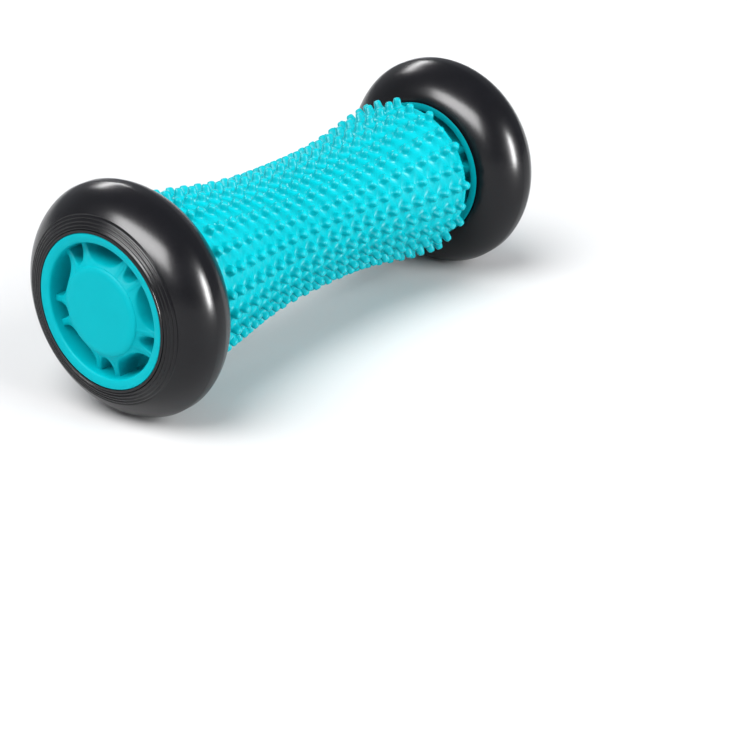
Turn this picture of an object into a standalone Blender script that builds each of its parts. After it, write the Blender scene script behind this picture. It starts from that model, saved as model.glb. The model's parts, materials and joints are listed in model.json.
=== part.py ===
"""Foot massage roller: an hourglass roller covered in pips, turning on a steel axle between two wheels.

The axle lies along X, and the origin is on it, midway between the wheels. +Z is up.
Each side's pieces are placed in that side's own axis frame, whose +Z runs outward along the axle,
so a piece's axial place is its distance from the roller's middle, and both sides share one set of sizes.
"""
import math

import bmesh
import bpy

MM = 0.001

# ---- Clearances ----
SEAT_GAP = 0.3 * MM       # between two pieces that are pressed, seated or bonded together
RUN_GAP = 0.2 * MM        # radial gap between the axle and what turns on it

# ---- Roller ----
SLEEVE_LENGTH = 124.8 * MM
WAIST_RADIUS = 18.6 * MM    # the sleeve's skin at the middle, under the pips
END_RADIUS = 24.6 * MM      # the sleeve's skin at its ends
FLARE_POWER = 1.45          # above 1 keeps the waist long and the flare near the ends
SLEEVE_WALL = 3.0 * MM
PIP_HEIGHT = 3.0 * MM
PIP_TOP = 3.3 * MM          # corner to corner of a pip's flat diamond top
PIP_PITCH = 5.8 * MM        # along a row; the last pips at each end stand closer, so that the field fits the sleeve
PIP_ROWS = 24               # round the roller; each row is half a pitch out of step with the next
END_LAND = 1.3 * MM         # skin without pips at each end, most of it taken by the end's chamfer
END_CHAMFER = 1.2 * MM
ROLLER_REST_ANGLE = math.radians(24.4)
END_PLAY = 2.9 * MM         # how far the roller can slide along the axle, either way from the middle
ROLLER_REST_PLACE = -END_PLAY      # it rests against the left wheel's spacer

# ---- Roller ends ----
SEAT_LENGTH = 7.6 * MM      # how deep the end plate's seat runs into the sleeve
SEAT_SHOULDER = 1.2 * MM    # height of the shoulder that stops the end plate
PLATE_THICKNESS = 3.2 * MM
PLATE_BOSS_WALL = 2.7 * MM
PLATE_BOSS_LENGTH = 9.5 * MM
CORE_TUBE_WALL = 2.0 * MM

# ---- Axle, bushes and fasteners ----
AXLE_RADIUS = 4.0 * MM
BUSH_WALL = 1.8 * MM
BUSH_LIP = 2.0 * MM         # how far the flange stands out past the body
BUSH_FLANGE = 1.2 * MM      # thickness of the flange
ROLLER_BUSH_LENGTH = 7.0 * MM      # of the body behind the flange
BUSH_APART = 0.9 * MM       # between the ends of the two bushes in a wheel
SPACER_WALL = 2.8 * MM
AXLE_PROUD = 0.3 * MM       # how far the axle's end stands past the outer bush, so the washer grips the axle
WASHER_RADIUS = 7.0 * MM
WASHER_THICKNESS = 1.0 * MM
SCREW_RADIUS = 2.5 * MM
SCREW_LENGTH = 11.0 * MM
SCREW_HEAD_RADIUS = 4.5 * MM
SCREW_HEAD = 2.4 * MM       # height of the head
SCREW_SOCKET = 1.3 * MM     # depth of the hexagon socket
SCREW_KEY = 3.0 * MM        # hexagon socket across its flats
THREAD_RUNOUT = 1.5 * MM    # bore left beyond the screw's tip

# ---- Wheels ----
WHEEL_RADIUS = 36.0 * MM
HUB_WIDTH = 24.4 * MM
WHEEL_GAP = 3.5 * MM        # between the sleeve's end and the wheel, when the roller is in the middle
TYRE_DEPTH = 11.7 * MM      # radial, from the rim to the tread
TYRE_CROWN = 3.0 * MM       # width of the flat strip at the top of the tread
TREAD_POWER = 1.7           # 2 would make each side of the tyre an ellipse; less makes it leaner
RIM_WALL = 3.7 * MM
RIM_RIB = 1.8 * MM          # radial height of the rib that keys the tyre to the rim
RIM_RIB_WIDTH = 6.0 * MM
MID_PLATE = 2.4 * MM        # thickness of the wall between the two sides' pockets
WEB_PAIRS = 5
WEB_SPREAD = math.radians(21.5)    # between the two webs of a pair
WEB_THICKNESS = 2.0 * MM           # where a web meets the rim
WEB_RECESS = 3.0 * MM              # how far the webs lie behind the rim's face, at the rim
WIDE_POCKET_FLOOR = 14.4 * MM      # radius of a wide pocket's inner end
NARROW_POCKET_FLOOR = 15.8 * MM    # radius of a narrow pocket's inner end
POCKET_RELIEF = 0.3 * MM           # how far a pocket runs out past the rim's inner wall
POCKET_POWER = 2.6                 # 2 would make a pocket's inner end an ellipse; more squares it
WHEEL_REST_ANGLE = math.radians(33.2)
CAP_RADIUS = 13.8 * MM
CAP_THICKNESS = 2.0 * MM
CAP_EDGE = 0.6 * MM                # chamfer round the cap's face
CAP_SPIGOT = 3.0 * MM              # length of the ring behind the cap
CAP_SPIGOT_WALL = 1.2 * MM
HEAD_ROOM = 0.8 * MM               # between the screw's head and the cap
SCREW_WELL_RADIUS = 9.5 * MM       # the bore in the hub that holds the washer and the screw's head

# ---- Facets ----
WHEEL_FACETS = 40
SMALL_FACETS = 20
TREAD_STEPS = 5             # along each side of the tyre's section
POCKET_STEPS = 6            # along a pocket's inner end
RIM_STEPS = 3               # along a pocket's arc at the rim
BORE_STEPS = 8              # along the sleeve's bore
WELD = 0.001 * MM

# ---- Places along the axle, from the roller's middle outward ----
SLEEVE_END = SLEEVE_LENGTH / 2
SEAT_FLOOR = SLEEVE_END - SEAT_LENGTH
PLATE_BACK = SEAT_FLOOR + SEAT_GAP
PLATE_FACE = PLATE_BACK + PLATE_THICKNESS
ROLLER_FLANGE_BACK = PLATE_FACE + SEAT_GAP
ROLLER_FLANGE_FACE = ROLLER_FLANGE_BACK + BUSH_FLANGE
HUB_BACK = SLEEVE_END + WHEEL_GAP
HUB_FACE = HUB_BACK + HUB_WIDTH
WHEEL_MIDDLE = (HUB_BACK + HUB_FACE) / 2
CAP_BACK = HUB_FACE - CAP_THICKNESS
HEAD_TOP = CAP_BACK - HEAD_ROOM
HEAD_BACK = HEAD_TOP - SCREW_HEAD
WASHER_FACE = HEAD_BACK - SEAT_GAP
WASHER_BACK = WASHER_FACE - WASHER_THICKNESS
AXLE_END = WASHER_BACK - SEAT_GAP
OUTER_FLANGE_FACE = AXLE_END - AXLE_PROUD
OUTER_FLANGE_BACK = OUTER_FLANGE_FACE - BUSH_FLANGE
WELL_FLOOR = OUTER_FLANGE_BACK - SEAT_GAP
BOSS_FACE = CAP_BACK - SEAT_GAP
INNER_FLANGE_SEAT = HUB_BACK + BUSH_FLANGE + SEAT_GAP
WHEEL_BUSH_LENGTH = (OUTER_FLANGE_BACK - HUB_BACK - BUSH_FLANGE - BUSH_APART) / 2

# ---- Radii that follow from the sizes above ----
BORE_RADIUS = AXLE_RADIUS + RUN_GAP
BUSH_RADIUS = BORE_RADIUS + BUSH_WALL
BUSH_FLANGE_RADIUS = BUSH_RADIUS + BUSH_LIP
BUSH_SEAT_RADIUS = BUSH_RADIUS + SEAT_GAP
SEAT_RADIUS = END_RADIUS - SLEEVE_WALL
PLATE_BOSS_RADIUS = BUSH_SEAT_RADIUS + PLATE_BOSS_WALL
CORE_TUBE_BORE = PLATE_BOSS_RADIUS + SEAT_GAP
RIM_RADIUS = WHEEL_RADIUS - TYRE_DEPTH
RIM_INNER = RIM_RADIUS - RIM_WALL
RIB_RADIUS = RIM_RADIUS + RIM_RIB
TYRE_BORE = RIM_RADIUS + SEAT_GAP

MATERIALS = {
    "roller_turquoise": ((0.0, 0.70, 0.80), 0.35, 0.0),
    "hub_teal": ((0.0, 0.55, 0.63), 0.32, 0.0),
    "tyre_black": ((0.022, 0.022, 0.028), 0.30, 0.0),
    "steel": ((0.60, 0.61, 0.62), 0.28, 1.0),
    "bush_white": ((0.78, 0.78, 0.74), 0.45, 0.0),
    "inner_plastic": ((0.05, 0.06, 0.065), 0.50, 0.0),
}


# ---------------------------------------------------------------- scene and shared helpers

def clear_scene():
    for thing in list(bpy.data.objects):
        bpy.data.objects.remove(thing, do_unlink=True)


def new_collection(name):
    collection = bpy.data.collections.new(name)
    bpy.context.scene.collection.children.link(collection)
    return collection


def make_materials():
    made = {}
    for name, (colour, roughness, metallic) in MATERIALS.items():
        material = bpy.data.materials.new(name)
        material.use_nodes = True
        shader = material.node_tree.nodes["Principled BSDF"]
        shader.inputs["Base Color"].default_value = (*colour, 1.0)
        shader.inputs["Roughness"].default_value = roughness
        shader.inputs["Metallic"].default_value = metallic
        made[name] = material
    return made


def axis_frame(name, sign, collection, place=0.0):
    """An empty on the axle, at a place along X, whose +Z points along +X (sign 1) or -X (sign -1)."""
    empty = bpy.data.objects.new(name, None)
    empty.location.x = place
    empty.rotation_euler = (0.0, sign * math.pi / 2, 0.0)
    collection.objects.link(empty)
    return empty


def add_object(name, mesh, parent, material, collection, turn=0.0):
    thing = bpy.data.objects.new(name, mesh)
    thing.parent = parent
    thing.rotation_euler.z = turn
    if material is not None:
        mesh.materials.append(material)
    collection.objects.link(thing)
    return thing


def turned(name, profile, parent, material, collection, facets=SMALL_FACETS, turn=0.0):
    """Turn a profile of (radius, place) points about its frame's Z.

    The points run down the outer side. A profile that starts and ends on the axis stays open there,
    and any other is closed into a loop, which leaves a bore."""
    count = len(profile)
    on_axis = profile[0][0] == 0.0 and profile[-1][0] == 0.0
    edges = [(i, i + 1) for i in range(count - 1)]
    if not on_axis:
        edges.append((count - 1, 0))
    mesh = bpy.data.meshes.new(name)
    mesh.from_pydata([(radius, 0.0, place) for radius, place in profile], edges, [])
    thing = add_object(name, mesh, parent, material, collection, turn)
    screw = thing.modifiers.new("turn", "SCREW")
    screw.axis = "Z"
    screw.angle = 2 * math.pi
    screw.steps = facets
    screw.render_steps = facets
    screw.use_merge_vertices = True
    screw.merge_threshold = WELD
    screw.use_smooth_shade = True
    return thing


def cut(target, cutter):
    modifier = target.modifiers.new(cutter.name, "BOOLEAN")
    modifier.operation = "DIFFERENCE"
    modifier.solver = "EXACT"
    modifier.object = cutter


def hide_cutter(thing):
    thing.hide_render = True
    thing.display_type = "WIRE"


# ---------------------------------------------------------------- roller

def skin_radius(place):
    """The sleeve's skin, under the pips: a long waist that flares and levels off at the ends."""
    share = min(abs(place) / SLEEVE_END, 1.0)
    flare = (1.0 - math.cos(math.pi * share ** FLARE_POWER)) / 2
    return WAIST_RADIUS + (END_RADIUS - WAIST_RADIUS) * flare


def sleeve_bore_rings():
    """(radius, place) of each ring from the skin's last ring at the outer end, through the bore, to the other."""
    shoulder_radius = SEAT_RADIUS - SEAT_SHOULDER
    rings = [
        (END_RADIUS, SLEEVE_END - END_CHAMFER),
        (END_RADIUS - END_CHAMFER, SLEEVE_END),
        (SEAT_RADIUS, SLEEVE_END),
        (SEAT_RADIUS, SEAT_FLOOR),
    ]
    for step in range(BORE_STEPS + 1):
        place = SEAT_FLOOR * (1 - 2 * step / BORE_STEPS)
        rings.append((min(skin_radius(place) - SLEEVE_WALL, shoulder_radius), place))
    rings += [
        (SEAT_RADIUS, -SEAT_FLOOR),
        (SEAT_RADIUS, -SLEEVE_END),
        (END_RADIUS - END_CHAMFER, -SLEEVE_END),
        (END_RADIUS, END_CHAMFER - SLEEVE_END),
    ]
    return rings


def pip_field(bm, reach):
    """The unrolled skin as diamonds, with x along the axle, y the angle round it, and z the height.

    A grid of squares has its centres poked and its own edges dissolved, which leaves one diamond
    on each grid edge: a staggered field. One spare row of squares makes both seams zigzag alike.
    The longer rows have their last pips at reach pitches, and the field is cut off half a pitch on.
    Reach counts in halves, so either kind of row may be the longer one."""
    step = 2 * math.pi / PIP_ROWS
    squares_along = 2 * (math.ceil(reach) + 1)
    squares_round = PIP_ROWS // 2 + 1
    bmesh.ops.create_grid(bm, x_segments=squares_along, y_segments=squares_round, size=1.0)
    for vert in bm.verts:
        vert.co.x *= squares_along * PIP_PITCH / 2
        vert.co.y = (vert.co.y + 1) * squares_round * step - 2 * step
    grid_edges = list(bm.edges)
    bmesh.ops.poke(bm, faces=list(bm.faces))
    inner_edges = [edge for edge in grid_edges if len(edge.link_faces) == 2]
    bmesh.ops.dissolve_edges(bm, edges=inner_edges, use_verts=False)
    spare = [face for face in bm.faces
             if not -step / 2 < face.calc_center_median().y < 2 * math.pi - step * 0.6]
    bmesh.ops.delete(bm, geom=spare, context="FACES")
    for end in (1, -1):
        everything = [*bm.verts, *bm.edges, *bm.faces]
        bmesh.ops.bisect_plane(bm, geom=everything, dist=WELD, plane_co=(end * (reach + 0.5) * PIP_PITCH, 0, 0),
                               plane_no=(end, 0, 0), clear_outer=True)


def fit_field(bm, reach, field_end):
    """Squeeze the last pitch and a half at each end, so that the field ends at field_end."""
    start = (reach - 1) * PIP_PITCH
    share = (field_end - start) / (1.5 * PIP_PITCH)
    for vert in bm.verts:
        beyond = abs(vert.co.x) - start
        if beyond > 0:
            vert.co.x = math.copysign(start + beyond * share, vert.co.x)


def raise_pips(bm):
    diamonds = [face for face in bm.faces if len(face.verts) == 4]
    tops = bmesh.ops.extrude_discrete_faces(bm, faces=diamonds)["faces"]
    for top in tops:
        centre = top.calc_center_median()
        half_along = PIP_TOP / 2
        half_round = half_along / (skin_radius(centre.x) + PIP_HEIGHT)
        for vert in top.verts:
            offset = vert.co - centre
            if abs(offset.x) > PIP_PITCH / 4:
                vert.co.x = centre.x + math.copysign(half_along, offset.x)
            else:
                vert.co.y = centre.y + math.copysign(half_round, offset.y)
            vert.co.z = PIP_HEIGHT


def roll_up(bm):
    for vert in bm.verts:
        place, angle, height = vert.co
        radius = skin_radius(place) + height
        vert.co = (radius * math.cos(angle), radius * math.sin(angle), place)
    bmesh.ops.remove_doubles(bm, verts=bm.verts, dist=WELD)


def line_bore(bm, field_end):
    """Carry the skin's outer ring over the end, through the bore and back to its inner ring."""
    loop = [edge for edge in bm.edges if edge.is_boundary and edge.verts[0].co.z > 0]
    for radius, place in sleeve_bore_rings() + [(skin_radius(field_end), -field_end)]:
        made = bmesh.ops.extrude_edge_only(bm, edges=loop)["geom"]
        loop = [part for part in made if isinstance(part, bmesh.types.BMEdge)]
        for vert in (part for part in made if isinstance(part, bmesh.types.BMVert)):
            angle = math.atan2(vert.co.y, vert.co.x)
            vert.co = (radius * math.cos(angle), radius * math.sin(angle), place)
    bmesh.ops.remove_doubles(bm, verts=bm.verts, dist=WELD)


def make_sleeve(parent, material, collection):
    field_end = SLEEVE_END - END_LAND
    reach = math.floor(2 * field_end / PIP_PITCH) / 2
    bm = bmesh.new()
    pip_field(bm, reach)
    fit_field(bm, reach, field_end)
    ends = [edge for edge in bm.edges
            if edge.is_boundary and all(abs(abs(vert.co.x) - field_end) < WELD for vert in edge.verts)]
    raise_pips(bm)
    bmesh.ops.subdivide_edges(bm, edges=ends, cuts=1)
    roll_up(bm)
    line_bore(bm, field_end)
    bmesh.ops.recalc_face_normals(bm, faces=bm.faces)
    mesh = bpy.data.meshes.new("roller_sleeve")
    bm.to_mesh(mesh)
    bm.free()
    return add_object("roller_sleeve", mesh, parent, material, collection, ROLLER_REST_ANGLE)


def make_core_tube(parent, material, collection):
    end = PLATE_BACK - SEAT_GAP
    outer = CORE_TUBE_BORE + CORE_TUBE_WALL
    profile = [(outer, end), (outer, -end), (CORE_TUBE_BORE, -end), (CORE_TUBE_BORE, end)]
    return turned("core_tube", profile, parent, material, collection)


def make_end_plate(side, parent, material, collection):
    edge = SEAT_RADIUS - SEAT_GAP
    boss_end = PLATE_BACK - PLATE_BOSS_LENGTH
    profile = [
        (edge, PLATE_FACE),
        (edge, PLATE_BACK),
        (PLATE_BOSS_RADIUS, PLATE_BACK),
        (PLATE_BOSS_RADIUS, boss_end),
        (BUSH_SEAT_RADIUS, boss_end),
        (BUSH_SEAT_RADIUS, PLATE_FACE),
    ]
    return turned(f"{side}_end_plate", profile, parent, material, collection)


# ---------------------------------------------------------------- axle, bushes and fasteners

def make_bush(name, flange_face, length, inward, parent, material, collection):
    """A flanged bush. inward is 1 when its body runs toward the roller's middle, and -1 when it runs outward."""
    flange_back = flange_face - inward * BUSH_FLANGE
    body_end = flange_back - inward * length
    profile = [
        (BUSH_FLANGE_RADIUS, flange_face),
        (BUSH_FLANGE_RADIUS, flange_back),
        (BUSH_RADIUS, flange_back),
        (BUSH_RADIUS, body_end),
        (BORE_RADIUS, body_end),
        (BORE_RADIUS, flange_face),
    ]
    if inward < 0:
        profile.reverse()
    return turned(name, profile, parent, material, collection)


def make_axle(parent, material, collection):
    """A rod with a tapped hole in each end."""
    tap = SCREW_RADIUS + SEAT_GAP
    tap_floor = HEAD_BACK - SCREW_LENGTH - THREAD_RUNOUT
    profile = [
        (0.0, tap_floor),
        (tap, tap_floor),
        (tap, AXLE_END),
        (AXLE_RADIUS, AXLE_END),
        (AXLE_RADIUS, -AXLE_END),
        (tap, -AXLE_END),
        (tap, -tap_floor),
        (0.0, -tap_floor),
    ]
    return turned("axle", profile, parent, material, collection)


def make_spacer(side, parent, material, collection):
    outer_end = HUB_BACK - SEAT_GAP
    inner_end = ROLLER_FLANGE_FACE + END_PLAY + SEAT_GAP
    outside = BORE_RADIUS + SPACER_WALL
    profile = [
        (outside, outer_end),
        (outside, inner_end),
        (BORE_RADIUS, inner_end),
        (BORE_RADIUS, outer_end),
    ]
    return turned(f"{side}_spacer", profile, parent, material, collection)


def make_washer(side, parent, material, collection):
    hole = SCREW_RADIUS + SEAT_GAP
    profile = [
        (WASHER_RADIUS, WASHER_FACE),
        (WASHER_RADIUS, WASHER_BACK),
        (hole, WASHER_BACK),
        (hole, WASHER_FACE),
    ]
    return turned(f"{side}_washer", profile, parent, material, collection)


def make_screw(side, parent, material, collection, cutters):
    """A pan-head screw with a hexagon socket."""
    shoulder = SCREW_HEAD / 2
    profile = [
        (0.0, HEAD_TOP),
        (SCREW_HEAD_RADIUS - shoulder / 2, HEAD_TOP),
        (SCREW_HEAD_RADIUS, HEAD_TOP - shoulder),
        (SCREW_HEAD_RADIUS, HEAD_BACK),
        (SCREW_RADIUS, HEAD_BACK),
        (SCREW_RADIUS, HEAD_BACK - SCREW_LENGTH),
        (0.0, HEAD_BACK - SCREW_LENGTH),
    ]
    screw = turned(f"{side}_axle_screw", profile, parent, material, collection)
    bm = bmesh.new()
    corner = SCREW_KEY / math.sqrt(3)
    bmesh.ops.create_cone(bm, cap_ends=True, segments=6, radius1=corner, radius2=corner, depth=2 * SCREW_SOCKET)
    mesh = bpy.data.meshes.new(f"{side}_key")
    bm.to_mesh(mesh)
    bm.free()
    key = add_object(f"{side}_key", mesh, parent, None, cutters)
    key.location.z = HEAD_TOP
    hide_cutter(key)
    cut(screw, key)
    return screw


# ---------------------------------------------------------------- wheels

def pocket_outline(middle, half_angle, floor_radius):
    """One pocket, seen along the axle: an arc at the rim, closed by a rounded inner end."""
    rim_radius = RIM_INNER + POCKET_RELIEF
    points = []
    for step in range(RIM_STEPS + 1):
        angle = middle + half_angle * (2 * step / RIM_STEPS - 1)
        points.append((rim_radius * math.cos(angle), rim_radius * math.sin(angle)))
    for step in range(1, POCKET_STEPS):
        turn = math.pi * step / POCKET_STEPS
        across = math.copysign(abs(math.cos(turn)) ** (2 / POCKET_POWER), math.cos(turn))
        inward = math.sin(turn) ** (2 / POCKET_POWER)
        angle = middle + half_angle * across
        radius = rim_radius - (rim_radius - floor_radius) * inward
        points.append((radius * math.cos(angle), radius * math.sin(angle)))
    return points


def pocket_outlines():
    """Every pocket of one side: between the webs of each pair, and between each pair and the next."""
    pitch = 2 * math.pi / WEB_PAIRS
    half_web = WEB_THICKNESS / 2 / RIM_INNER
    narrow_half = WEB_SPREAD / 2 - half_web
    wide_half = (pitch - WEB_SPREAD) / 2 - half_web
    outlines = []
    for pair in range(WEB_PAIRS):
        outlines.append(pocket_outline(pair * pitch, narrow_half, NARROW_POCKET_FLOOR))
        outlines.append(pocket_outline((pair + 0.5) * pitch, wide_half, WIDE_POCKET_FLOOR))
    return outlines


def make_pocket_mesh(depth, collection):
    """All pockets of one side as one mesh of closed prisms, centred on its own origin."""
    outline = bpy.data.curves.new("pockets", "CURVE")
    outline.dimensions = "2D"
    outline.fill_mode = "BOTH"
    outline.extrude = depth / 2
    for points in pocket_outlines():
        spline = outline.splines.new("POLY")
        spline.points.add(len(points) - 1)
        for point, (x, y) in zip(spline.points, points):
            point.co = (x, y, 0.0, 1.0)
        spline.use_cyclic_u = True
    drawn = bpy.data.objects.new("pockets", outline)
    collection.objects.link(drawn)
    bpy.context.view_layer.update()
    evaluated = drawn.evaluated_get(bpy.context.evaluated_depsgraph_get())
    mesh = bpy.data.meshes.new_from_object(evaluated)
    bpy.data.objects.remove(drawn, do_unlink=True)
    bm = bmesh.new()
    bm.from_mesh(mesh)
    bmesh.ops.remove_doubles(bm, verts=bm.verts, dist=WELD)
    bmesh.ops.recalc_face_normals(bm, faces=bm.faces)
    bm.to_mesh(mesh)
    bm.free()
    return mesh


def make_wheel_core(side, parent, material, collection, cutters):
    """Rim, webs and hub in one moulding. Both faces have the same webs; the outer one also has a well."""
    rib = RIM_RIB_WIDTH / 2
    front_web = HUB_FACE - WEB_RECESS
    back_web = HUB_BACK + WEB_RECESS
    boss_step = HUB_FACE - BOSS_FACE
    profile = [
        (RIM_RADIUS, HUB_FACE),
        (RIM_RADIUS, WHEEL_MIDDLE + rib),
        (RIB_RADIUS, WHEEL_MIDDLE + rib),
        (RIB_RADIUS, WHEEL_MIDDLE - rib),
        (RIM_RADIUS, WHEEL_MIDDLE - rib),
        (RIM_RADIUS, HUB_BACK),
        (RIM_INNER, HUB_BACK),
        (RIM_INNER, back_web),
        (CAP_RADIUS, HUB_BACK + boss_step),
        (CAP_RADIUS, HUB_BACK),
        (BUSH_FLANGE_RADIUS + SEAT_GAP, HUB_BACK),
        (BUSH_FLANGE_RADIUS + SEAT_GAP, INNER_FLANGE_SEAT),
        (BUSH_SEAT_RADIUS, INNER_FLANGE_SEAT),
        (BUSH_SEAT_RADIUS, WELL_FLOOR),
        (SCREW_WELL_RADIUS, WELL_FLOOR),
        (SCREW_WELL_RADIUS, BOSS_FACE),
        (CAP_RADIUS, BOSS_FACE),
        (RIM_INNER, front_web),
        (RIM_INNER, HUB_FACE),
    ]
    core = turned(f"{side}_wheel_core", profile, parent, material, collection, WHEEL_FACETS, WHEEL_REST_ANGLE)
    depth = HUB_WIDTH / 2
    mesh = make_pocket_mesh(depth, cutters)
    for end, direction in (("outer", 1), ("inner", -1)):
        pockets = add_object(f"{side}_{end}_pockets", mesh, parent, None, cutters, WHEEL_REST_ANGLE)
        pockets.location.z = WHEEL_MIDDLE + direction * (MID_PLATE / 2 + depth / 2)
        hide_cutter(pockets)
        cut(core, pockets)
    return core


def tyre_side(direction):
    """(radius, place) from the crown's edge to the rim on one side of the tyre, crown first."""
    half_width = HUB_WIDTH / 2
    lean = (TYRE_CROWN / 2 / half_width) ** TREAD_POWER
    start = math.asin(lean ** 0.5)
    points = []
    for step in range(TREAD_STEPS + 1):
        turn = start + (math.pi / 2 - start) * step / TREAD_STEPS
        across = half_width * math.sin(turn) ** (2 / TREAD_POWER)
        up = (math.cos(turn) / math.cos(start)) ** (2 / TREAD_POWER)
        radius = TYRE_BORE + (WHEEL_RADIUS - TYRE_BORE) * up
        points.append((max(radius, TYRE_BORE), WHEEL_MIDDLE + direction * across))
    return points


def make_tyre(side, parent, material, collection):
    """A tyre moulded round the rim, with a groove that fits the rim's rib. A facet faces straight down."""
    groove = RIM_RIB_WIDTH / 2 + SEAT_GAP
    groove_radius = RIB_RADIUS + SEAT_GAP
    profile = list(reversed(tyre_side(1))) + tyre_side(-1) + [
        (TYRE_BORE, WHEEL_MIDDLE - groove),
        (groove_radius, WHEEL_MIDDLE - groove),
        (groove_radius, WHEEL_MIDDLE + groove),
        (TYRE_BORE, WHEEL_MIDDLE + groove),
    ]
    half_facet = math.pi / WHEEL_FACETS
    return turned(f"{side}_tyre", profile, parent, material, collection, WHEEL_FACETS, half_facet)


def make_hub_cap(side, parent, material, collection):
    spigot = SCREW_WELL_RADIUS - SEAT_GAP
    spigot_end = CAP_BACK - CAP_SPIGOT
    profile = [
        (0.0, HUB_FACE),
        (CAP_RADIUS - CAP_EDGE, HUB_FACE),
        (CAP_RADIUS, HUB_FACE - CAP_EDGE),
        (CAP_RADIUS, CAP_BACK),
        (spigot, CAP_BACK),
        (spigot, spigot_end),
        (spigot - CAP_SPIGOT_WALL, spigot_end),
        (spigot - CAP_SPIGOT_WALL, CAP_BACK),
        (0.0, CAP_BACK),
    ]
    return turned(f"{side}_hub_cap", profile, parent, material, collection, WHEEL_FACETS)


# ---------------------------------------------------------------- assembly

def main():
    clear_scene()
    parts = new_collection("foot_massage_roller")
    cutters = new_collection("cutters")
    look = make_materials()

    roller = axis_frame("roller_axis", 1, parts, ROLLER_REST_PLACE)
    make_sleeve(roller, look["roller_turquoise"], parts)
    make_core_tube(roller, look["inner_plastic"], parts)
    make_axle(axis_frame("axle_axis", 1, parts), look["steel"], parts)

    for side, sign in (("left", -1), ("right", 1)):
        frame = axis_frame(f"{side}_axis", sign, parts)
        roller_end = axis_frame(f"{side}_roller_axis", sign, parts, ROLLER_REST_PLACE)
        make_end_plate(side, roller_end, look["roller_turquoise"], parts)
        for name, flange_face, length, inward, parent in (
                ("roller_bush", ROLLER_FLANGE_FACE, ROLLER_BUSH_LENGTH, 1, roller_end),
                ("inner_bush", HUB_BACK, WHEEL_BUSH_LENGTH, -1, frame),
                ("outer_bush", OUTER_FLANGE_FACE, WHEEL_BUSH_LENGTH, 1, frame)):
            make_bush(f"{side}_{name}", flange_face, length, inward, parent, look["bush_white"], parts)
        make_spacer(side, frame, look["inner_plastic"], parts)
        make_washer(side, frame, look["steel"], parts)
        make_screw(side, frame, look["steel"], parts, cutters)
        make_wheel_core(side, frame, look["hub_teal"], parts, cutters)
        make_tyre(side, frame, look["tyre_black"], parts)
        make_hub_cap(side, frame, look["hub_teal"], parts)


main()
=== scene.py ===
# %% [markdown]
# # A foot massage roller
# The real thing is an hourglass roller covered in small pips, which spins on a steel axle between
# two wheels. Each wheel is a plastic hub with five pairs of webs, a rubber tyre moulded round it and
# a smooth disc over the axle screw. The exact sizes and the joints come from a CAD model that is
# loaded here as a fixed frame. This lesson makes the pieces that the eye sees, one at a time, and
# puts each on the CAD body that it turns with.

# %% Load the frame
import json
import math

import bmesh
import bpy
from mathutils import Matrix, Vector


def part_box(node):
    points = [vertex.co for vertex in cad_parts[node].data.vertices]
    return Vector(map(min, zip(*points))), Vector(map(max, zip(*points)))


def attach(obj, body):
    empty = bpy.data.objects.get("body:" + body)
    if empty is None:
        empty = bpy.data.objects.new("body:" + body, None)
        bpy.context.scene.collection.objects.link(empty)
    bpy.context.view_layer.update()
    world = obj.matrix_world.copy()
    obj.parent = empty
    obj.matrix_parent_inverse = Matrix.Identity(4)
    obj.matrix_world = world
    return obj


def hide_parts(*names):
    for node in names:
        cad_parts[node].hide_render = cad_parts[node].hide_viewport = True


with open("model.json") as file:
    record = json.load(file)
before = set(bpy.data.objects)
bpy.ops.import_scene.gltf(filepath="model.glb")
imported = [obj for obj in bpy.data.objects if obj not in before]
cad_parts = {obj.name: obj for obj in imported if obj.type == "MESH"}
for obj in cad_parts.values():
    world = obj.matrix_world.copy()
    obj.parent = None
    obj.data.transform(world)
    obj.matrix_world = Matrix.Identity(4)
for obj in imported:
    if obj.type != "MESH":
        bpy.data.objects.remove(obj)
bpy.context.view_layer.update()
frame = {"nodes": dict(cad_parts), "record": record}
MM = 0.001

# %% [markdown]
# ## Places and sizes
# The axle lies along X, with its middle at the origin. Every length along it is read from the CAD
# boxes, so the new pieces sit exactly where the CAD ones do. The few sizes that a box can't show,
# such as the height of a pip, are written down in millimetres. The roller has some end play and rests
# a little to the left, so its own pieces are drawn about their own middle and then slid into place.

# %% Places along the axle
sleeve_low, sleeve_high = (corner.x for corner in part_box("roller_sleeve"))
sleeve_end = (sleeve_high - sleeve_low) / 2
roller_place = (sleeve_high + sleeve_low) / 2
plate_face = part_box("right_end_plate")[1].x - roller_place
plate_back = plate_face - 3.2 * MM       # the end plate is 3.2 mm thick
hub_back, hub_face = (corner.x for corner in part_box("right_wheel_core"))
wheel_middle = (hub_back + hub_face) / 2
boss_face = hub_face - 2.3 * MM          # the hub disc sits on the boss, sunk by this much
seat_gap = 0.3 * MM                      # the CAD's gap between pieces that press or bond together

wheel_radius = 36.0 * MM
lip_radius = 23.65 * MM                  # where the tyre's outer wall ends
rim_radius = 24.3 * MM
rim_inner = 20.6 * MM
rib_radius, rib_half = 26.1 * MM, 3.0 * MM      # the rib round the rim that keys the tyre
disc_radius = 13.8 * MM
floor_height = -wheel_radius
print("sleeve", round(2 * sleeve_end / MM, 1), "mm long, its middle at", round(roller_place / MM, 2), "mm")
print("wheels from", round(hub_back / MM, 2), "to", round(hub_face / MM, 2), "mm")

# %% [markdown]
# ## Helpers for colour and shader nodes
# Colours are chosen as the hex values that a paint chart gives, which are in sRGB. Blender's shaders
# want linear light, so one function converts them. One more function adds any shader node, with its
# settings and its links. Every material below is then made in the same four steps: a noise pattern
# with marks of a real size, two shades blended by it, a gloss that wanders with it, and a fine relief.

# %% Colour and node helpers
def paint(hex_code):
    channels = [int(hex_code[i:i + 2], 16) / 255 for i in (1, 3, 5)]
    linear = [c / 12.92 if c <= 0.04045 else ((c + 0.055) / 1.055) ** 2.4 for c in channels]
    return (*linear, 1.0)


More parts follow.
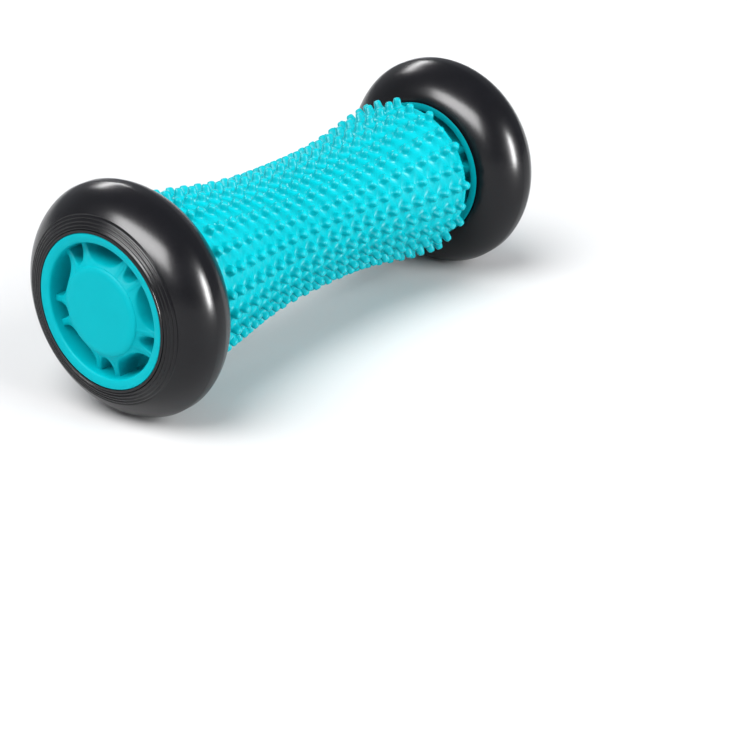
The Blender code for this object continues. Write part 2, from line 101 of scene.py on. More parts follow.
def add_node(tree, kind, settings, sockets):
    """A shader node. A socket's value is a number, a colour, or the output of another node."""
    made = tree.nodes.new(kind)
    for name, value in settings.items():
        setattr(made, name, value)
    for name, value in sockets.items():
        if isinstance(value, bpy.types.NodeSocket):
            tree.links.new(value, made.inputs[name])
        else:
            made.inputs[name].default_value = value
    return made


def start_material(name, **shader_values):
    """An empty material with its shader, and the piece's own coordinates in metres."""
    material = bpy.data.materials.new(name)
    material.use_nodes = True
    tree = material.node_tree
    shader = tree.nodes["Principled BSDF"]
    for socket, value in shader_values.items():
        shader.inputs[socket.replace("_", " ")].default_value = value
    place = add_node(tree, "ShaderNodeTexCoord", {}, {}).outputs["Object"]
    return material, tree, shader, place


def noise(tree, place, size, detail, **more):
    """A soft pattern from 0 to 1, whose marks are about one size across."""
    sockets = {"Vector": place, "Scale": 1 / size, "Detail": detail, **more}
    return add_node(tree, "ShaderNodeTexNoise", {}, sockets).outputs["Fac"]


def blend_shades(tree, shader, pattern, deep, pale):
    sockets = {"Factor": pattern, "A": paint(deep), "B": paint(pale)}
    shade = add_node(tree, "ShaderNodeMix", {"data_type": "RGBA"}, sockets)
    tree.links.new(shade.outputs["Result"], shader.inputs["Base Color"])


def vary_gloss(tree, shader, pattern, low, high):
    gloss = add_node(tree, "ShaderNodeMapRange", {}, {"Value": pattern, "To Min": low, "To Max": high})
    tree.links.new(gloss.outputs[0], shader.inputs["Roughness"])


def raise_relief(tree, shader, pattern, strength):
    """A relief 0.02 mm deep. A strength of 1 shows all of it."""
    sockets = {"Strength": strength, "Distance": 0.02 * MM, "Height": pattern}
    bump = add_node(tree, "ShaderNodeBump", {}, sockets)
    tree.links.new(bump.outputs[0], shader.inputs["Normal"])


# %% [markdown]
# ## Moulded plastics
# The sleeve is a glossy injection-moulded polypropylene, and the hubs are moulded ABS with a satin
# finish. Moulded plastic is never one flat colour: the pigment streaks a little where the melt
# flowed, and the skin follows the polish of the mould, so the gloss wanders by a few hundredths.
# Real flow marks are 10 to 30 mm long, and the ripple of the skin is about 0.5 mm across. The
# ripple is drawn 1 mm across here, because a finer one would vanish at this size.
# One function makes every plastic from two shades, its roughness and index of refraction, its shine
# and the strength of its ripple. Shine is how strong its reflections are, and 0.5 is usual. The
# turquoise plastics have less, because a white room mirrored in them would wash out their colour.

# %% Moulded plastics
def moulded_plastic(name, deep, pale, roughness, ior, shine, ripple):
    material, tree, shader, place = start_material(name, IOR=ior, Specular_IOR_Level=shine)
    stretched = add_node(tree, "ShaderNodeMapping", {}, {"Vector": place, "Scale": (0.5, 1.0, 1.0)})
    flow = noise(tree, stretched.outputs[0], 14 * MM, 3.0, Distortion=0.6)
    blend_shades(tree, shader, flow, deep, pale)
    vary_gloss(tree, shader, flow, roughness - 0.04, roughness + 0.05)
    raise_relief(tree, shader, noise(tree, place, 1.0 * MM, 2.0), ripple)
    return material


glossy_polypropylene = moulded_plastic(
    "glossy_polypropylene_turquoise", "#00A0AA", "#00AEB8", roughness=0.30, ior=1.49, shine=0.12, ripple=0.25)
satin_abs = moulded_plastic(
    "satin_abs_teal", "#00A4AF", "#00AEB8", roughness=0.42, ior=1.53, shine=0.04, ripple=0.35)
white_acetal = moulded_plastic(
    "white_acetal", "#C8C8C0", "#D6D6D0", roughness=0.42, ior=1.48, shine=0.5, ripple=0.2)
dark_nylon = moulded_plastic(
    "dark_grey_nylon", "#1C1E20", "#282B2D", roughness=0.50, ior=1.53, shine=0.5, ripple=0.5)
print("plastics:", [m.name for m in (glossy_polypropylene, satin_abs, white_acetal, dark_nylon)])

# %% [markdown]
# ## Moulded rubber
# The tyres are a black thermoplastic rubber from a polished mould. It isn't pure black: carbon black
# in rubber reads as a very dark blue-grey, and a faint bloom of wax makes it a little paler in
# patches 5 to 10 mm across. The gloss is soft and wide. The surface has a fine orange-peel of about
# 0.4 mm, drawn here at 0.8 mm.

# %% Tyre rubber
def moulded_rubber(name):
    material, tree, shader, place = start_material(name, IOR=1.52, Specular_IOR_Level=0.25)
    bloom = noise(tree, place, 7 * MM, 4.0, Roughness=0.6)
    blend_shades(tree, shader, bloom, "#08080B", "#0E0E12")
    vary_gloss(tree, shader, bloom, 0.20, 0.27)
    raise_relief(tree, shader, noise(tree, place, 0.8 * MM, 1.0), 0.25)
    return material


tyre_rubber = moulded_rubber("moulded_black_rubber")
print("rubber:", tyre_rubber.name)

# %% [markdown]
# ## Turned and plated steel
# The axle, washers and screws are turned steel with a thin bright zinc plating. A lathe leaves rings
# round the turning axis about 0.2 mm apart. They are drawn 0.4 mm apart with a Wave texture in rings
# about X, and the plating's faint clouding is a slow noise in the gloss. At a scale of 1 a Wave
# texture repeats about every 0.314 m, so its scale is that length over the rings' distance. A metal
# keeps the default index of refraction, because its base colour sets the reflection.

# %% Plated steel
wave_scale = 0.314


def plated_steel(name):
    material, tree, shader, place = start_material(name, Metallic=1.0)
    cloud = noise(tree, place, 3 * MM, 3.0)
    blend_shades(tree, shader, cloud, "#B9BCC0", "#D2D5D6")
    vary_gloss(tree, shader, cloud, 0.22, 0.36)
    turning = {"Vector": place, "Scale": wave_scale / (0.4 * MM)}
    rings = add_node(tree, "ShaderNodeTexWave", {"wave_type": "RINGS", "rings_direction": "X"}, turning)
    raise_relief(tree, shader, rings.outputs["Fac"], 0.3)
    return material


zinc_plated_steel = plated_steel("zinc_plated_steel")
print("steel:", zinc_plated_steel.name)

# %% [markdown]
# ## Better finishes for the hidden CAD pieces
# The axle, its screws and washers, the outer bushes and the core tube are hidden inside, and their
# CAD shapes are right as they are. They keep their meshes and only get the finishes made above.

# %% Finishes for the carried-over pieces
finish_of_slot = {
    "roller_turquoise": glossy_polypropylene,
    "hub_teal": satin_abs,
    "tyre_black": tyre_rubber,
    "steel": zinc_plated_steel,
    "bush_white": white_acetal,
    "inner_plastic": dark_nylon,
}
for part in frame["record"]["subparts"]:
    node = frame["nodes"][part["node"]]
    for slot in node.material_slots:
        slot.material = finish_of_slot[part["material_slot"]]

# %% [markdown]
# ## Helpers for shapes
# Every piece is modelled round a Z axis, with z as its distance along the axle from the roller's
# middle, because that is how a lathe or a mould designer would draw it. A last turn lays that axis
# along the real axle: to the right for one side and to the left for the other. After that the piece
# is finished: doubles merged, faces pointing outwards, and smooth shading broken only at sharp edges.

# %% Finish a piece
WELD = 0.002 * MM


def side_turn(side):
    return Matrix.Rotation(math.pi / 2 if side == "right" else -math.pi / 2, 4, "Y")


def finish_piece(name, bm, turn, material, body, nodes, sharp=38.0):
    bmesh.ops.remove_doubles(bm, verts=bm.verts, dist=WELD)
    bmesh.ops.dissolve_degenerate(bm, edges=bm.edges, dist=WELD / 4)
    bmesh.ops.transform(bm, matrix=turn, verts=bm.verts)
    bmesh.ops.recalc_face_normals(bm, faces=bm.faces)
    open_edges = sum(1 for edge in bm.edges if not edge.is_manifold)
    mesh = bpy.data.meshes.new(name)
    bm.to_mesh(mesh)
    bm.free()
    mesh.shade_smooth()
    mesh.set_sharp_from_angle(angle=math.radians(sharp))
    mesh.materials.append(material)
    piece = bpy.data.objects.new(name, mesh)
    bpy.context.scene.collection.objects.link(piece)
    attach(piece, body)
    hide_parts(*nodes)
    print(f"{name}: {len(mesh.polygons)} faces, {open_edges} open edges")
    return piece


# %% [markdown]
# ## Turning a profile
# Bushes, spacers, discs and tyres are all turned shapes: half of the cross-section, spun through a
# full circle. The profile is a short chain of (radius, place) points. Real moulded or machined edges
# are never knife-sharp, so a helper rounds any corner of a profile with a small arc first.

# %% Turn a profile
def rounded(points, radii, steps=4):
    """The closed profile with each corner replaced by an arc of its own radius, where that isn't 0."""
    made = []
    for index, (point, radius) in enumerate(zip(points, radii)):
        here = Vector(point)
        if radius == 0:
            made.append(tuple(here))
            continue
        before = (Vector(points[index - 1]) - here).normalized()
        after = (Vector(points[(index + 1) % len(points)]) - here).normalized()
        half = before.angle(after) / 2
        centre = here + (before + after).normalized() * radius / math.sin(half)
        first = (here + before * radius / math.tan(half) - centre).normalized()
        last = (here + after * radius / math.tan(half) - centre).normalized()
        for step in range(steps + 1):
            made.append(tuple(centre + first.slerp(last, step / steps) * radius))
    return made


def turn_profile(profile, steps, closed=True):
    bm = bmesh.new()
    verts = [bm.verts.new((radius, 0.0, place)) for radius, place in profile]
    chain = list(zip(verts, verts[1:])) + ([(verts[-1], verts[0])] if closed else [])
    edges = [bm.edges.new(pair) for pair in chain]
    bmesh.ops.spin(bm, geom=verts + edges, cent=(0, 0, 0), axis=(0, 0, 1), angle=2 * math.pi, steps=steps,
                   use_merge=True, use_duplicate=False)
    return bm


# %% [markdown]
# ## The massage sleeve
# The sleeve is one moulding: an hourglass tube with 24 rows of pips, each row half a pitch out of
# step with the next. Each pip is a little frustum with a rounded-square section whose corners point
# along and round the roller, a soft fillet at its foot and a slightly domed top.
#
# It could be made by scattering loose pips over a tube, but then every pip would meet the skin in a
# hard line. Instead the skin is unrolled flat and tiled with diamonds, one for each pip: a grid of
# squares has its centres poked and its own edges dissolved. Every diamond then grows its pip by
# extrusion, and the sheet is rolled up, so pips and skin are one continuous surface.

# %% The unrolled field of diamonds
pip_pitch = 5.8 * MM
pip_rows = 24
row_step = 2 * math.pi / pip_rows
field_end = sleeve_end - 1.3 * MM        # the last 1.3 mm at each end is left plain
reach = math.floor(2 * field_end / pip_pitch) / 2      # the last pip's place, in pitches from the middle
waist_radius, flare = 18.6 * MM, 6.0 * MM


def skin_radius(place):
    """Under the pips: a long waist of 18.6 mm that flares to 24.6 mm and levels off at the ends."""
    share = min(abs(place) / sleeve_end, 1.0)
    return waist_radius + flare / 2 * (1.0 - math.cos(math.pi * share ** 1.45))


def tile_field():
    bm = bmesh.new()
    along, around = 2 * (math.ceil(reach) + 1), pip_rows // 2 + 1
    bmesh.ops.create_grid(bm, x_segments=along, y_segments=around, size=1.0)
    for vert in bm.verts:
        vert.co.x *= along * pip_pitch / 2
        vert.co.y = (vert.co.y + 1) * around * row_step - 2 * row_step
    grid_edges = list(bm.edges)
    bmesh.ops.poke(bm, faces=list(bm.faces))
    bmesh.ops.dissolve_edges(bm, edges=[e for e in grid_edges if len(e.link_faces) == 2], use_verts=False)
    first, last = -row_step / 2, 2 * math.pi - row_step * 0.6
    spare = [face for face in bm.faces if not first < face.calc_center_median().y < last]
    bmesh.ops.delete(bm, geom=spare, context="FACES")
    for end in (1, -1):
        cut = (end * (reach + 0.5) * pip_pitch, 0, 0)
        bmesh.ops.bisect_plane(bm, geom=[*bm.verts, *bm.edges, *bm.faces], dist=WELD,
                               plane_co=cut, plane_no=(end, 0, 0), clear_outer=True)
    return bm


sleeve = tile_field()
print("tiles:", sum(1 for face in sleeve.faces if len(face.verts) == 4))

# %% [markdown]
# The tiles at the ends are squeezed a little, so that the field ends where the sleeve's rounded edge
# begins. Then every edge is split in two, which turns each diamond into a ring of eight points. A
# smoothing level later rounds that ring, and because the middle points lie on straight sides, what
# comes out is a square with rounded corners and not a circle.

# %% Fit the field and split its edges
squeeze_from = (reach - 1) * pip_pitch
squeeze = (field_end - squeeze_from) / (1.5 * pip_pitch)
for vert in sleeve.verts:
    beyond = abs(vert.co.x) - squeeze_from
    if beyond > 0:
        vert.co.x = math.copysign(squeeze_from + beyond * squeeze, vert.co.x)
bmesh.ops.bisect_edges(sleeve, edges=sleeve.edges[:], cuts=1)
print("field reaches", round(max(vert.co.x for vert in sleeve.verts) / MM, 2), "mm from the middle")

# %% [markdown]
# Each pip grows in five short extrusions. A ring is told, in millimetres, how far its corners lie from
# the pip's middle and how high it stands. The first is wide and low and makes the fillet, the next two
# make the leaning side, the fourth the rounded shoulder and the last the edge of the domed top. A
# ring near the end of the sleeve keeps inside its narrower tile.

# %% Grow the pips
def grow_ring(bm, faces, half, height):
    """Extrude every pip once and set its new ring, with the corners half a width from the middle."""
    faces = bmesh.ops.extrude_discrete_faces(bm, faces=faces)["faces"]
    for face in faces:
        centre = face.calc_center_bounds()
        wide = max(abs(v.co.x - centre.x) for v in face.verts)
        tall = max(abs(v.co.y - centre.y) for v in face.verts)
        radius = skin_radius(centre.x) + height
        for vert in face.verts:
            across = round(2 * (vert.co.x - centre.x) / wide) / 2
            around = round(2 * (vert.co.y - centre.y) / tall) / 2
            vert.co = (centre.x + across * min(half, 0.93 * wide), centre.y + around * half / radius, height)
    return faces


pips = [face for face in sleeve.faces if len(face.verts) == 8]
pip_rings = ((2.60, 0.30), (2.12, 0.62), (1.92, 1.70), (1.66, 2.62), (1.00, 3.06))
print("pips:", len(pips))
for half, height in pip_rings:
    pips = grow_ring(sleeve, pips, half * MM, height * MM)

# %% [markdown]
# The sheet is rolled up: its x becomes the place along the roller, its y the angle, and its z adds
# to the skin's radius. Its two long edges zigzag alike, so they merge. Then the open ring at one end
# is carried over the end, past the seat of the end plate, through the bore and out to the other end.

# %% Roll up and line the bore
for vert in sleeve.verts:
    place, angle, height = vert.co
    radius = skin_radius(place) + height
    vert.co = (radius * math.cos(angle), radius * math.sin(angle), place)
bmesh.ops.remove_doubles(sleeve, verts=sleeve.verts, dist=WELD)


def carry_ring(bm, loop, radius, place):
    """Extrude a ring of edges and set its new verts to one radius and place, each at its own angle."""
    made = bmesh.ops.extrude_edge_only(bm, edges=loop)["geom"]
    for vert in (part for part in made if isinstance(part, bmesh.types.BMVert)):
        angle = math.atan2(vert.co.y, vert.co.x)
        vert.co = (radius * math.cos(angle), radius * math.sin(angle), place)
    return [part for part in made if isinstance(part, bmesh.types.BMEdge)]


end_radius = skin_radius(sleeve_end)
end_rounding = 1.2 * MM
seat_radius = 21.6 * MM
seat_floor = plate_back - seat_gap
sleeve_wall = 3.0 * MM
seat_shoulder = 1.2 * MM
edge_turns = [math.pi / 2 * step / 4 for step in range(5)]
end_rings = [(end_radius - end_rounding * (1 - math.cos(turn)),
              sleeve_end - end_rounding * (1 - math.sin(turn))) for turn in edge_turns]
end_rings += [(seat_radius + 0.2 * MM, sleeve_end), (seat_radius, sleeve_end - 0.2 * MM),
              (seat_radius, seat_floor + 0.1 * MM), (seat_radius - 0.1 * MM, seat_floor)]
bore_places = [seat_floor * (1 - step / 5) for step in range(11)]
bore_rings = [(min(skin_radius(place) - sleeve_wall, seat_radius - seat_shoulder), place)
              for place in bore_places]
other_end = [(radius, -place) for radius, place in reversed(end_rings)]
ring = [edge for edge in sleeve.edges if edge.is_boundary and edge.verts[0].co.z > 0]
for radius, place in end_rings + bore_rings + other_end + [(skin_radius(field_end), -field_end)]:
    ring = carry_ring(sleeve, ring, radius, place)
print("rings through the bore:", len(bore_rings))

# %% [markdown]
# One level of subdivision rounds every pip. It stays a modifier, so the mesh that is kept is light:
# about forty faces a pip. The roller is turned about its axle to rest as the real one does.

# %% Finish the sleeve
roller_turned = Matrix.Rotation(math.radians(24.4), 4, "Z")
sleeve_rest = Matrix.Translation((roller_place, 0, 0)) @ side_turn("right") @ roller_turned
massage_sleeve = finish_piece("massage_sleeve", sleeve, sleeve_rest, glossy_polypropylene,
                              "roller", ["roller_sleeve"], sharp=180.0)
smoothing = massage_sleeve.modifiers.new("round the pips", "SUBSURF")
smoothing.levels = smoothing.render_levels = 1

# %% [markdown]
# ## The tyres
# Each tyre is moulded round its rim. Its section is fat and lean at once: a narrow flat crown, sides
# that fall away faster than a circle, and an almost flat wall next to the rim. On the outer wall are
# four fine raised rings, about 1 mm apart and a quarter of a millimetre high. The inner wall is plain.
#
# The section is a superellipse worked out point by point and then spun. The rings are a cosine
# added where the wall is flat, cut into the surface so that their tops stay level with it.

# %% Section of a tyre
tyre_bore = rim_radius + seat_gap
half_width = hub_face - wheel_middle
half_crown = 1.5 * MM
fullness = 1.7       # 2 is an ellipse, and less makes the shoulder leaner


def tyre_flank(steps=54):
    """(radius, distance from the wheel's middle) from the crown's edge down to the lip."""
    start = math.asin((half_crown / half_width) ** (fullness / 2))
    points = []
    for step in range(steps + 1):
        share = 1 - (1 - step / steps) ** 1.15       # the points crowd a little towards the lip
        turn = start + (math.pi / 2 - start) * share
        across = half_width * math.sin(turn) ** (2 / fullness)
        up = (max(math.cos(turn), 0.0) / math.cos(start)) ** (2 / fullness)
        points.append((lip_radius + (wheel_radius - lip_radius) * up, across))
    return points


print("crown to lip:", [round(v / MM, 2) for v in (*tyre_flank()[0], *tyre_flank()[-1])])

# %% [markdown]
# Between the lip and 28.5 mm the section needs more points than elsewhere, to draw the rings. So the
# flank is resampled by radius there, and each point is pushed in by the groove's depth.

# %% Rings on the flank
ring_pitch = 1.0 * MM
ring_depth = 0.28 * MM
ring_from, ring_to = 24.55 * MM, 28.55 * MM
ring_steps = 40


def distance_at(flank, radius):
    """How far from the wheel's middle a flank lies at one radius, between its two nearest points."""
    above = min((point for point in flank if point[0] >= radius), key=lambda point: point[0])
    below = max((point for point in flank if point[0] <= radius), key=lambda point: point[0])
    share = 0.0 if above[0] == below[0] else (radius - below[0]) / (above[0] - below[0])
    return below[1] + (above[1] - below[1]) * share


def ridged_flank():
    smooth = tyre_flank()
    outer = [point for point in smooth if point[0] > ring_to + 0.2 * MM]
    ridged = []
    for step in range(ring_steps + 1):
        radius = ring_to + (lip_radius + 0.12 * MM - ring_to) * step / ring_steps
        wave = 0.5 + 0.5 * math.cos(2 * math.pi * (ring_to - radius) / ring_pitch)
        groove = ring_depth * wave ** 1.5 if radius > ring_from else 0.0
        ridged.append((radius, distance_at(smooth, radius) - groove))
    return outer + ridged


def tyre_profile(middle):
    """The ridged outer flank, the bore with its groove for the rim's rib, and the plain inner flank."""
    inside = [(lip_radius, half_width - 0.45 * MM), (tyre_bore, half_width - 1.4 * MM),
              (tyre_bore, rib_half + seat_gap), (rib_radius + seat_gap, rib_half + seat_gap)]
    outward = [(radius, middle + across) for radius, across in ridged_flank() + inside]
    inward = [(radius, middle - across) for radius, across in reversed(tyre_flank() + inside)]
    return outward + inward


for side in ("left", "right"):
    tyre = turn_profile(tyre_profile(wheel_middle), 128)
    finish_piece(f"{side}_rubber_tyre", tyre, side_turn(side), tyre_rubber,
                 f"{side}_wheel", [f"{side}_tyre"])

# %% [markdown]
# ## The webbed hubs
# A hub is one moulding: a rim, a boss round the axle, and five pairs of webs between them on each
# face. Between the webs are deep pockets with rounded inner ends, which save plastic and let the
# moulding cool evenly. The webs lie 3 mm behind the rim's face, so the rim reads as a raised ring.
#
# Cutting pockets out of a solid with Booleans would leave no room for fillets. Instead the hub is
# built the way its surfaces flow: one loop of edges follows the webs' outline, and rings of faces
# are carried from it inward over the boss, down into each pocket, and outward up to the rim.

# %% Outlines of the pockets
web_pairs = 5
pair_pitch = 2 * math.pi / web_pairs
pair_apart = math.radians(21.5)          # between the two webs of a pair
half_web = 1.05 * MM / rim_inner
narrow_half = pair_apart / 2 - half_web
wide_half = (pair_pitch - pair_apart) / 2 - half_web
squareness = 2.6      # of a pocket's inner end: 2 is an ellipse, and more makes it squarer
pockets = []          # (middle angle, half angle, radius of the inner end, steps at rim, steps at end)
for pair in range(web_pairs):
    pockets.append((pair * pair_pitch, narrow_half, 14.9 * MM, 4, 16))
    pockets.append(((pair + 0.5) * pair_pitch, wide_half, 14.6 * MM, 12, 26))


def pocket_ring(pocket, inset, rise):
    """(radius, angle) round one pocket: first along the rim, then back round the inner end.

    Inset narrows the pocket at its sides and at the rim, and rise moves its inner end outward."""
    middle, half, floor, arc_steps, end_steps = pocket
    rim = rim_inner - max(inset, 0.0)
    half -= inset / rim_inner
    floor += rise
    points = [(rim, middle + half * (2 * step / arc_steps - 1)) for step in range(arc_steps + 1)]
    for step in range(1, end_steps):
        turn = math.pi * step / end_steps
        across = math.copysign(abs(math.cos(turn)) ** (2 / squareness), math.cos(turn))
        points.append((rim - (rim - floor) * math.sin(turn) ** (2 / squareness), middle + half * across))
    return points


print("pockets on each face:", len(pockets))

# %% [markdown]
# The heights come next. Each web leaves the foot of the disc's shoulder 0.9 mm below the hub's face
# and curves down to 3 mm at the rim, like the arm of a star. A pocket is a scoop: its side walls are
# nearly straight, and lean in by three degrees so that the moulding leaves its tool, but its inner end
# rolls over softly and then slopes outward as it goes down. So every ring of a scoop has three
# numbers, in millimetres: how far its sides move in, how far its inner end moves out, and its depth.
# The edge's depths are below the webs, and the wall's are below the hub's face.

# %% Depths below the hub's face
web_at_disc, web_at_rim = 0.9 * MM, 3.0 * MM


def web_depth(radius):
    share = min(max((radius - disc_radius) / (rim_inner - disc_radius), 0.0), 1.0)
    return web_at_rim - (web_at_rim - web_at_disc) * (1.0 - share) ** 2


edge_rings = [(-0.42, -0.56, 0.0), (-0.26, -0.36, 0.04), (-0.12, -0.17, 0.13), (-0.03, -0.02, 0.28),
              (0.0, 0.12, 0.52)]
wall_rings = [(0.05, 0.50, 4.2), (0.22, 0.85, 7.2), (0.40, 1.20, 9.6), (0.60, 1.45, 10.4),
              (0.95, 1.80, 10.85), (1.5, 2.30, 11.0)]
print("a pocket takes", len(edge_rings) + len(wall_rings), "rings")


def pocket_spot(spot, depth_from, depth, face, way):
    """Where a pocket's point lies: at its radius and angle, and at a depth below the hub's face."""
    radius, angle = spot
    below = depth + (web_depth(radius) if depth_from == "web" else 0.0)
    return Vector((radius * math.cos(angle), radius * math.sin(angle), face - way * below))


# %% [markdown]
# A pocket starts as one closed wire on the webs' surface. It is extruded ring by ring down to its
# floor. All pockets of a face are made like this, and the short arcs at the webs' outer ends join
# them into a full circle at the rim.

# %% Sink the pockets
def sink_pocket(bm, pocket, face, way):
    """One pocket, from its top edge to its floor. Returns its top verts, and its top edges in two parts."""
    rings = [(*ring, "web") for ring in edge_rings] + [(*ring, "face") for ring in wall_rings]
    spots = pocket_ring(pocket, rings[0][0] * MM, rings[0][1] * MM)
    verts = [bm.verts.new(pocket_spot(spot, "web", 0.0, face, way)) for spot in spots]
    top = [bm.edges.new((a, b)) for a, b in zip(verts, verts[1:] + verts[:1])]
    loop, order = top, verts
    for inset, rise, depth, depth_from in rings[1:]:
        made = bmesh.ops.extrude_edge_only(bm, edges=loop)["geom"]
        fresh = set(part for part in made if isinstance(part, bmesh.types.BMVert))
        order = [next(e.other_vert(v) for e in v.link_edges if e.other_vert(v) in fresh) for v in order]
        loop = [part for part in made if isinstance(part, bmesh.types.BMEdge)]
        for vert, spot in zip(order, pocket_ring(pocket, inset * MM, rise * MM)):
            vert.co = pocket_spot(spot, depth_from, depth * MM, face, way)
    bmesh.ops.edgeloop_fill(bm, edges=loop)
    arc_steps = pocket[3]
    return verts, top[:arc_steps], top[arc_steps:]


def sink_face(bm, face, way):
    """All the pockets of one face. Returns its circle at the rim and the webs' outline, as edges."""
    sunk = [sink_pocket(bm, pocket, face, way) for pocket in pockets]
    circle, outline = [], []
    for index, (verts, arc, inner) in enumerate(sunk):
        following = sunk[(index + 1) % len(sunk)][0]
        end = verts[pockets[index][3]]
        angle = math.atan2(*((end.co + following[0].co).yx))
        middle = bm.verts.new(pocket_spot((rim_inner, angle), "web", 0.0, face, way))
        halves = [bm.edges.new((end, middle)), bm.edges.new((middle, following[0]))]
        circle += arc + halves
        outline += inner + halves
    return circle, outline


# %% [markdown]
# From the webs' outline, rings of faces run inward over the boss. They keep the outline's own angles
# and close in on the circle under the disc. From the circle at the rim, rings run up the inner wall,
# over its rounded edge, across the ring's face and down the outside, past the rib that keys the tyre.
# The back of the hub has the same webs, and the bore joins the two faces.

# %% Build a hub
def close_in(bm, loop, radius, share, face, way):
    """Carry the webs' outline part of the way towards a circle, at the webs' own depth."""
    made = bmesh.ops.extrude_edge_only(bm, edges=loop)["geom"]
    for vert in (part for part in made if isinstance(part, bmesh.types.BMVert)):
        here = math.hypot(vert.co.x, vert.co.y)
        target = here + (radius - here) * share
        vert.co = (vert.co.x * target / here, vert.co.y * target / here, face - way * web_depth(target))
    return [part for part in made if isinstance(part, bmesh.types.BMEdge)]


def rim_edge(face, way):
    """(radius, place) up the rim's inner wall, over its rounded edge and across the slightly dished ring."""
    rounding, dish, last_turn = 0.75 * MM, 0.45 * MM, 1.4
    points = [(rim_inner, face - way * 1.9 * MM)]
    for step in range(6):
        turn = last_turn * step / 5
        below = dish + rounding * (1 - math.sin(turn))
        points.append((rim_inner + rounding * (1 - math.cos(turn)), face - way * below))
    points += [(lip_radius - 0.4 * MM, face), (lip_radius - 0.15 * MM, face - way * 0.1 * MM),
               (lip_radius - 0.03 * MM, face - way * 0.4 * MM), (rim_radius, face - way * 1.3 * MM)]
    return points


def hub_bore():
    """(radius, place) from the boss through the disc's socket and the bushes' bore to the back's collar."""
    socket, shaft, flange, collar = 9.5 * MM, 6.3 * MM, 8.3 * MM, disc_radius
    socket_floor = wheel_middle + 3.6 * MM
    return [(socket, boss_face), (socket, socket_floor), (shaft, socket_floor),
            (shaft, hub_back + 1.5 * MM), (flange, hub_back + 1.5 * MM),
            (flange, hub_back + 0.15 * MM), (flange + 0.15 * MM, hub_back),
            (collar - 0.5 * MM, hub_back), (collar - 0.1 * MM, hub_back + 0.15 * MM),
            (collar, hub_back + 0.5 * MM), (collar, hub_back + 1.7 * MM),
            (collar + 0.2 * MM, hub_back + 2.1 * MM)]


def build_hub():
    bm = bmesh.new()
    front_circle, front_webs = sink_face(bm, hub_face, 1)
    back_circle, back_webs = sink_face(bm, hub_back, -1)
    rib = [(rim_radius, wheel_middle + rib_half), (rib_radius, wheel_middle + rib_half),
           (rib_radius, wheel_middle - rib_half), (rim_radius, wheel_middle - rib_half)]
    for radius, place in rim_edge(hub_face, 1) + rib + list(reversed(rim_edge(hub_back, -1))):
        front_circle = carry_ring(bm, front_circle, radius, place)
    bmesh.ops.bridge_loops(bm, edges=front_circle + back_circle)
    for share in (0.45, 1.0):
        front_webs = close_in(bm, front_webs, disc_radius, share, hub_face, 1)
    for share in (0.45, 1.0):
        back_webs = close_in(bm, back_webs, disc_radius + 0.6 * MM, share, hub_back, -1)
    for radius, place in hub_bore():
        front_webs = carry_ring(bm, front_webs, radius, place)
    bmesh.ops.bridge_loops(bm, edges=front_webs + back_webs)
    return bm


hub_rest = Matrix.Rotation(math.radians(33.2), 4, "Z")
for side in ("left", "right"):
    finish_piece(f"{side}_webbed_hub", build_hub(), side_turn(side) @ hub_rest, satin_abs,
                 f"{side}_wheel", [f"{side}_wheel_core"])

# %% [markdown]
# ## The hub discs
# A plain round disc presses into the middle of each wheel and hides the axle screw. Its face is
# level with the rim, and its shoulder falls away as part of an ellipse, 2.4 mm wide and 1 mm deep,
# so it flows into the webs. On the real one a maker might print a name here; this one is left plain.
# It is turned from half its section, and the profile starts and ends on the axis, so the disc is closed.

# %% Hub discs
spigot, spigot_length, spigot_wall = 9.2 * MM, 3.0 * MM, 1.2 * MM
shoulder_width, shoulder_depth = 2.4 * MM, 1.0 * MM
disc_back = boss_face + 0.05 * MM
disc_profile = [(0, hub_face)]
for step in range(9):
    turn = math.pi / 2 * step / 8
    disc_profile.append((disc_radius - shoulder_width * (1 - math.sin(turn)),
                         hub_face - shoulder_depth * (1 - math.cos(turn))))
disc_profile += [(disc_radius, disc_back), (spigot, disc_back), (spigot, disc_back - spigot_length),
                 (spigot - spigot_wall, disc_back - spigot_length),
                 (spigot - spigot_wall, disc_back + 0.3 * MM), (0, disc_back + 0.3 * MM)]
for side in ("left", "right"):
    disc = turn_profile(disc_profile, 96, closed=False)
    finish_piece(f"{side}_hub_disc", disc, side_turn(side), satin_abs,
                 f"{side}_wheel", [f"{side}_hub_cap"])

# %% [markdown]
# ## Small turned pieces in the gap
# Between the roller and each wheel the eye can see the end plate, the white flanged bushes and the
# dark spacer. They are turned with small rounded edges, because those edges are what catches light.

# %% End plates, bushes and spacers
plate_edge = seat_radius - seat_gap
plate_boss, boss_length = 9.0 * MM, 9.5 * MM
bush_seat = 6.3 * MM
bush_body, bush_flange, flange_thickness = 6.0 * MM, 8.0 * MM, 1.2 * MM
axle_bore = 4.2 * MM
spacer_radius = 7.0 * MM
plate_profile = rounded(
    [(plate_edge, plate_face), (plate_edge, plate_back), (plate_boss, plate_back),
     (plate_boss, plate_back - boss_length), (bush_seat, plate_back - boss_length), (bush_seat, plate_face)],
    [0.4 * MM, 0.3 * MM, 0.6 * MM, 0.3 * MM, 0.3 * MM, 0.3 * MM])


def bush_profile(flange_face, way, length):
    """A flanged bush whose body runs away from its flange's face, one way or the other along the axle."""
    back = flange_face - way * flange_thickness
    end = back - way * length
    return rounded([(bush_flange, flange_face), (bush_flange, back), (bush_body, back),
                    (bush_body, end), (axle_bore, end), (axle_bore, flange_face)],
                   [0.3 * MM, 0.2 * MM, 0, 0.3 * MM, 0.2 * MM, 0.3 * MM])


